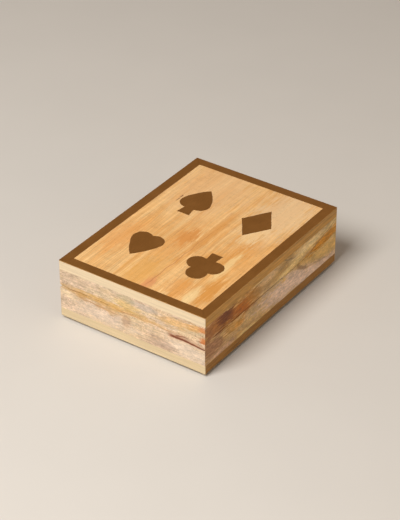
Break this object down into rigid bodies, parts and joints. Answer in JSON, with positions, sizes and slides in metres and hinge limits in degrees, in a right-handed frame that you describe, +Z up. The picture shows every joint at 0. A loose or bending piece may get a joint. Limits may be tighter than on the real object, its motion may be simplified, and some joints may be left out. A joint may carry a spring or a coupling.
{
  "type": "poker chip case",
  "caption": "Hinged wooden case with brass card-suit inlays in its lid, troughs for poker chips and wells for playing cards.",
  "frame": {"origin": "on the table, under the middle of the closed case", "axes": "+X along the case's length to its right, +Y from the opening side to the hinges, +Z up"},
  "size_m": [0.224, 0.164, 0.065],
  "materials": {
    "pale_wood": "pale golden mango wood, satin lacquer",
    "figured_wood": "figured mango wood with grey and reddish streaks, satin lacquer",
    "inlay_brass": "aged brown-toned sheet brass, fine brushed satin",
    "hinge_brass": "plain polished brass, slightly dulled",
    "nickel": "nickel plate, bright",
    "felt": "dark green wool felt",
    "rubber": "matt black rubber"
  },
  "bodies": {
    "base": {"base_panel": "pale_wood", "base_wall_front": "figured_wood", "base_wall_right": "figured_wood", "base_wall_back": "figured_wood", "base_wall_left": "figured_wood", "chip_rack": "pale_wood", "card_divider": "pale_wood", "card_well_felt_front": "felt", "card_well_felt_back": "felt", "base_magnet_left": "nickel", "base_magnet_right": "nickel", "hinge_left_base_leaf": "hinge_brass", "hinge_left_pin": "hinge_brass", "hinge_left_base_screw_1": "hinge_brass", "hinge_left_base_screw_2": "hinge_brass", "hinge_right_base_leaf": "hinge_brass", "hinge_right_pin": "hinge_brass", "hinge_right_base_screw_1": "hinge_brass", "hinge_right_base_screw_2": "hinge_brass", "foot_front_left": "rubber", "foot_front_right": "rubber", "foot_back_left": "rubber", "foot_back_right": "rubber"},
    "lid": {"lid_panel": "pale_wood", "lid_wall_front": "figured_wood", "lid_wall_right": "figured_wood", "lid_wall_back": "figured_wood", "lid_wall_left": "figured_wood", "border_strip_front": "inlay_brass", "border_strip_right": "inlay_brass", "border_strip_back": "inlay_brass", "border_strip_left": "inlay_brass", "spade_inlay": "inlay_brass", "diamond_inlay": "inlay_brass", "heart_inlay": "inlay_brass", "club_inlay": "inlay_brass", "lid_felt": "felt", "lid_magnet_left": "nickel", "lid_magnet_right": "nickel", "hinge_left_lid_leaf": "hinge_brass", "hinge_left_lid_screw_1": "hinge_brass", "hinge_left_lid_screw_2": "hinge_brass", "hinge_right_lid_leaf": "hinge_brass", "hinge_right_lid_screw_1": "hinge_brass", "hinge_right_lid_screw_2": "hinge_brass"}
  },
  "joints": [
    {"name": "lid_hinge", "type": "hinge", "parent": "base", "child": "lid", "pos_m": [0, 0.08005, 0.037], "axis": [-1, 0, 0], "range_deg": [0, 100]}
  ]
}
